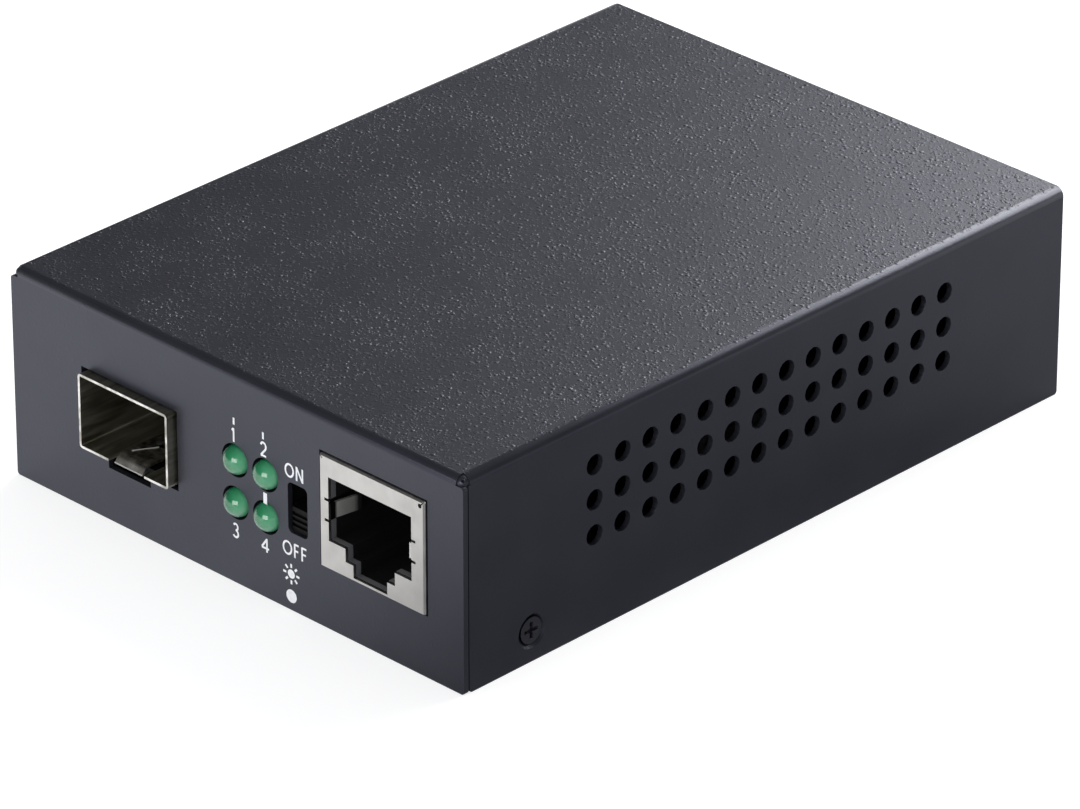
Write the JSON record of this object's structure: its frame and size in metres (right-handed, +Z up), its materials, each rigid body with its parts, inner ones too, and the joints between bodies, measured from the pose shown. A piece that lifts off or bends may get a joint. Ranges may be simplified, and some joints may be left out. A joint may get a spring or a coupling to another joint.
{
  "type": "fibre media converter",
  "caption": "Compact fibre media converter: folded charcoal steel box with an optical module cage, a shielded network socket, green status lights and a recessed slide switch",
  "frame": {"origin": "bottom centre of the box, on the plane it rests on", "axes": "+X to the right as seen from the front, +Y from the front to the rear, +Z up"},
  "size_m": [0.07, 0.0965, 0.026],
  "materials": {
    "powder_coat": "fine-textured charcoal powder coat on steel sheet",
    "black_zinc": "black zinc plated screw",
    "plated_steel": "bright zinc plate",
    "solder_mask": "green solder mask on glass-epoxy board",
    "cage_sheet": "thin plated sheet with bright cut edges",
    "nickel_shield": "satin nickel plate",
    "gold_contact": "gold flash on spring bronze",
    "tinned_lead": "tin plated lead",
    "black_plastic": "black moulded plastic",
    "slider_plastic": "black ridged plastic",
    "green_lens": "translucent green epoxy lens, unlit",
    "can_aluminium": "aluminium can",
    "ceramic_chip": "fired ceramic chip"
  },
  "bodies": {
    "housing": {"base_tray": "powder_coat", "board_screws": "plated_steel", "board_standoffs": "plated_steel", "card_connector": "black_plastic", "card_contacts": "gold_contact", "chip_capacitors": "ceramic_chip", "chip_leads": "tinned_lead", "chip_resistors": "black_plastic", "circuit_board": "solder_mask", "converter_chip": "black_plastic", "copper_light": "green_lens", "cover": "powder_coat", "cover_screws": "black_zinc", "crystal_can": "plated_steel", "fibre_light": "green_lens", "input_capacitor": "can_aluminium", "jack_housing": "black_plastic", "jack_leaf": "nickel_shield", "jack_pin": "nickel_shield", "lan_transformer": "black_plastic", "light_holder": "black_plastic", "light_leads": "tinned_lead", "memory_chip": "black_plastic", "output_capacitor": "can_aluminium", "power_inductor": "black_plastic", "power_light": "green_lens", "sfp_cage": "cage_sheet", "sfp_latch": "cage_sheet", "socket_housing": "black_plastic", "socket_shield": "nickel_shield", "socket_springs": "nickel_shield", "socket_wires": "gold_contact", "speed_light": "green_lens", "switch_body": "black_plastic", "transformer_leads": "tinned_lead", "voltage_regulator": "black_plastic"},
    "slider": {"switch_slider": "slider_plastic"}
  },
  "joints": [
    {"name": "switch_slide", "type": "slide", "parent": "housing", "child": "slider", "axis": [0, 0, 1], "range_m": [0, 0.003]}
  ]
}
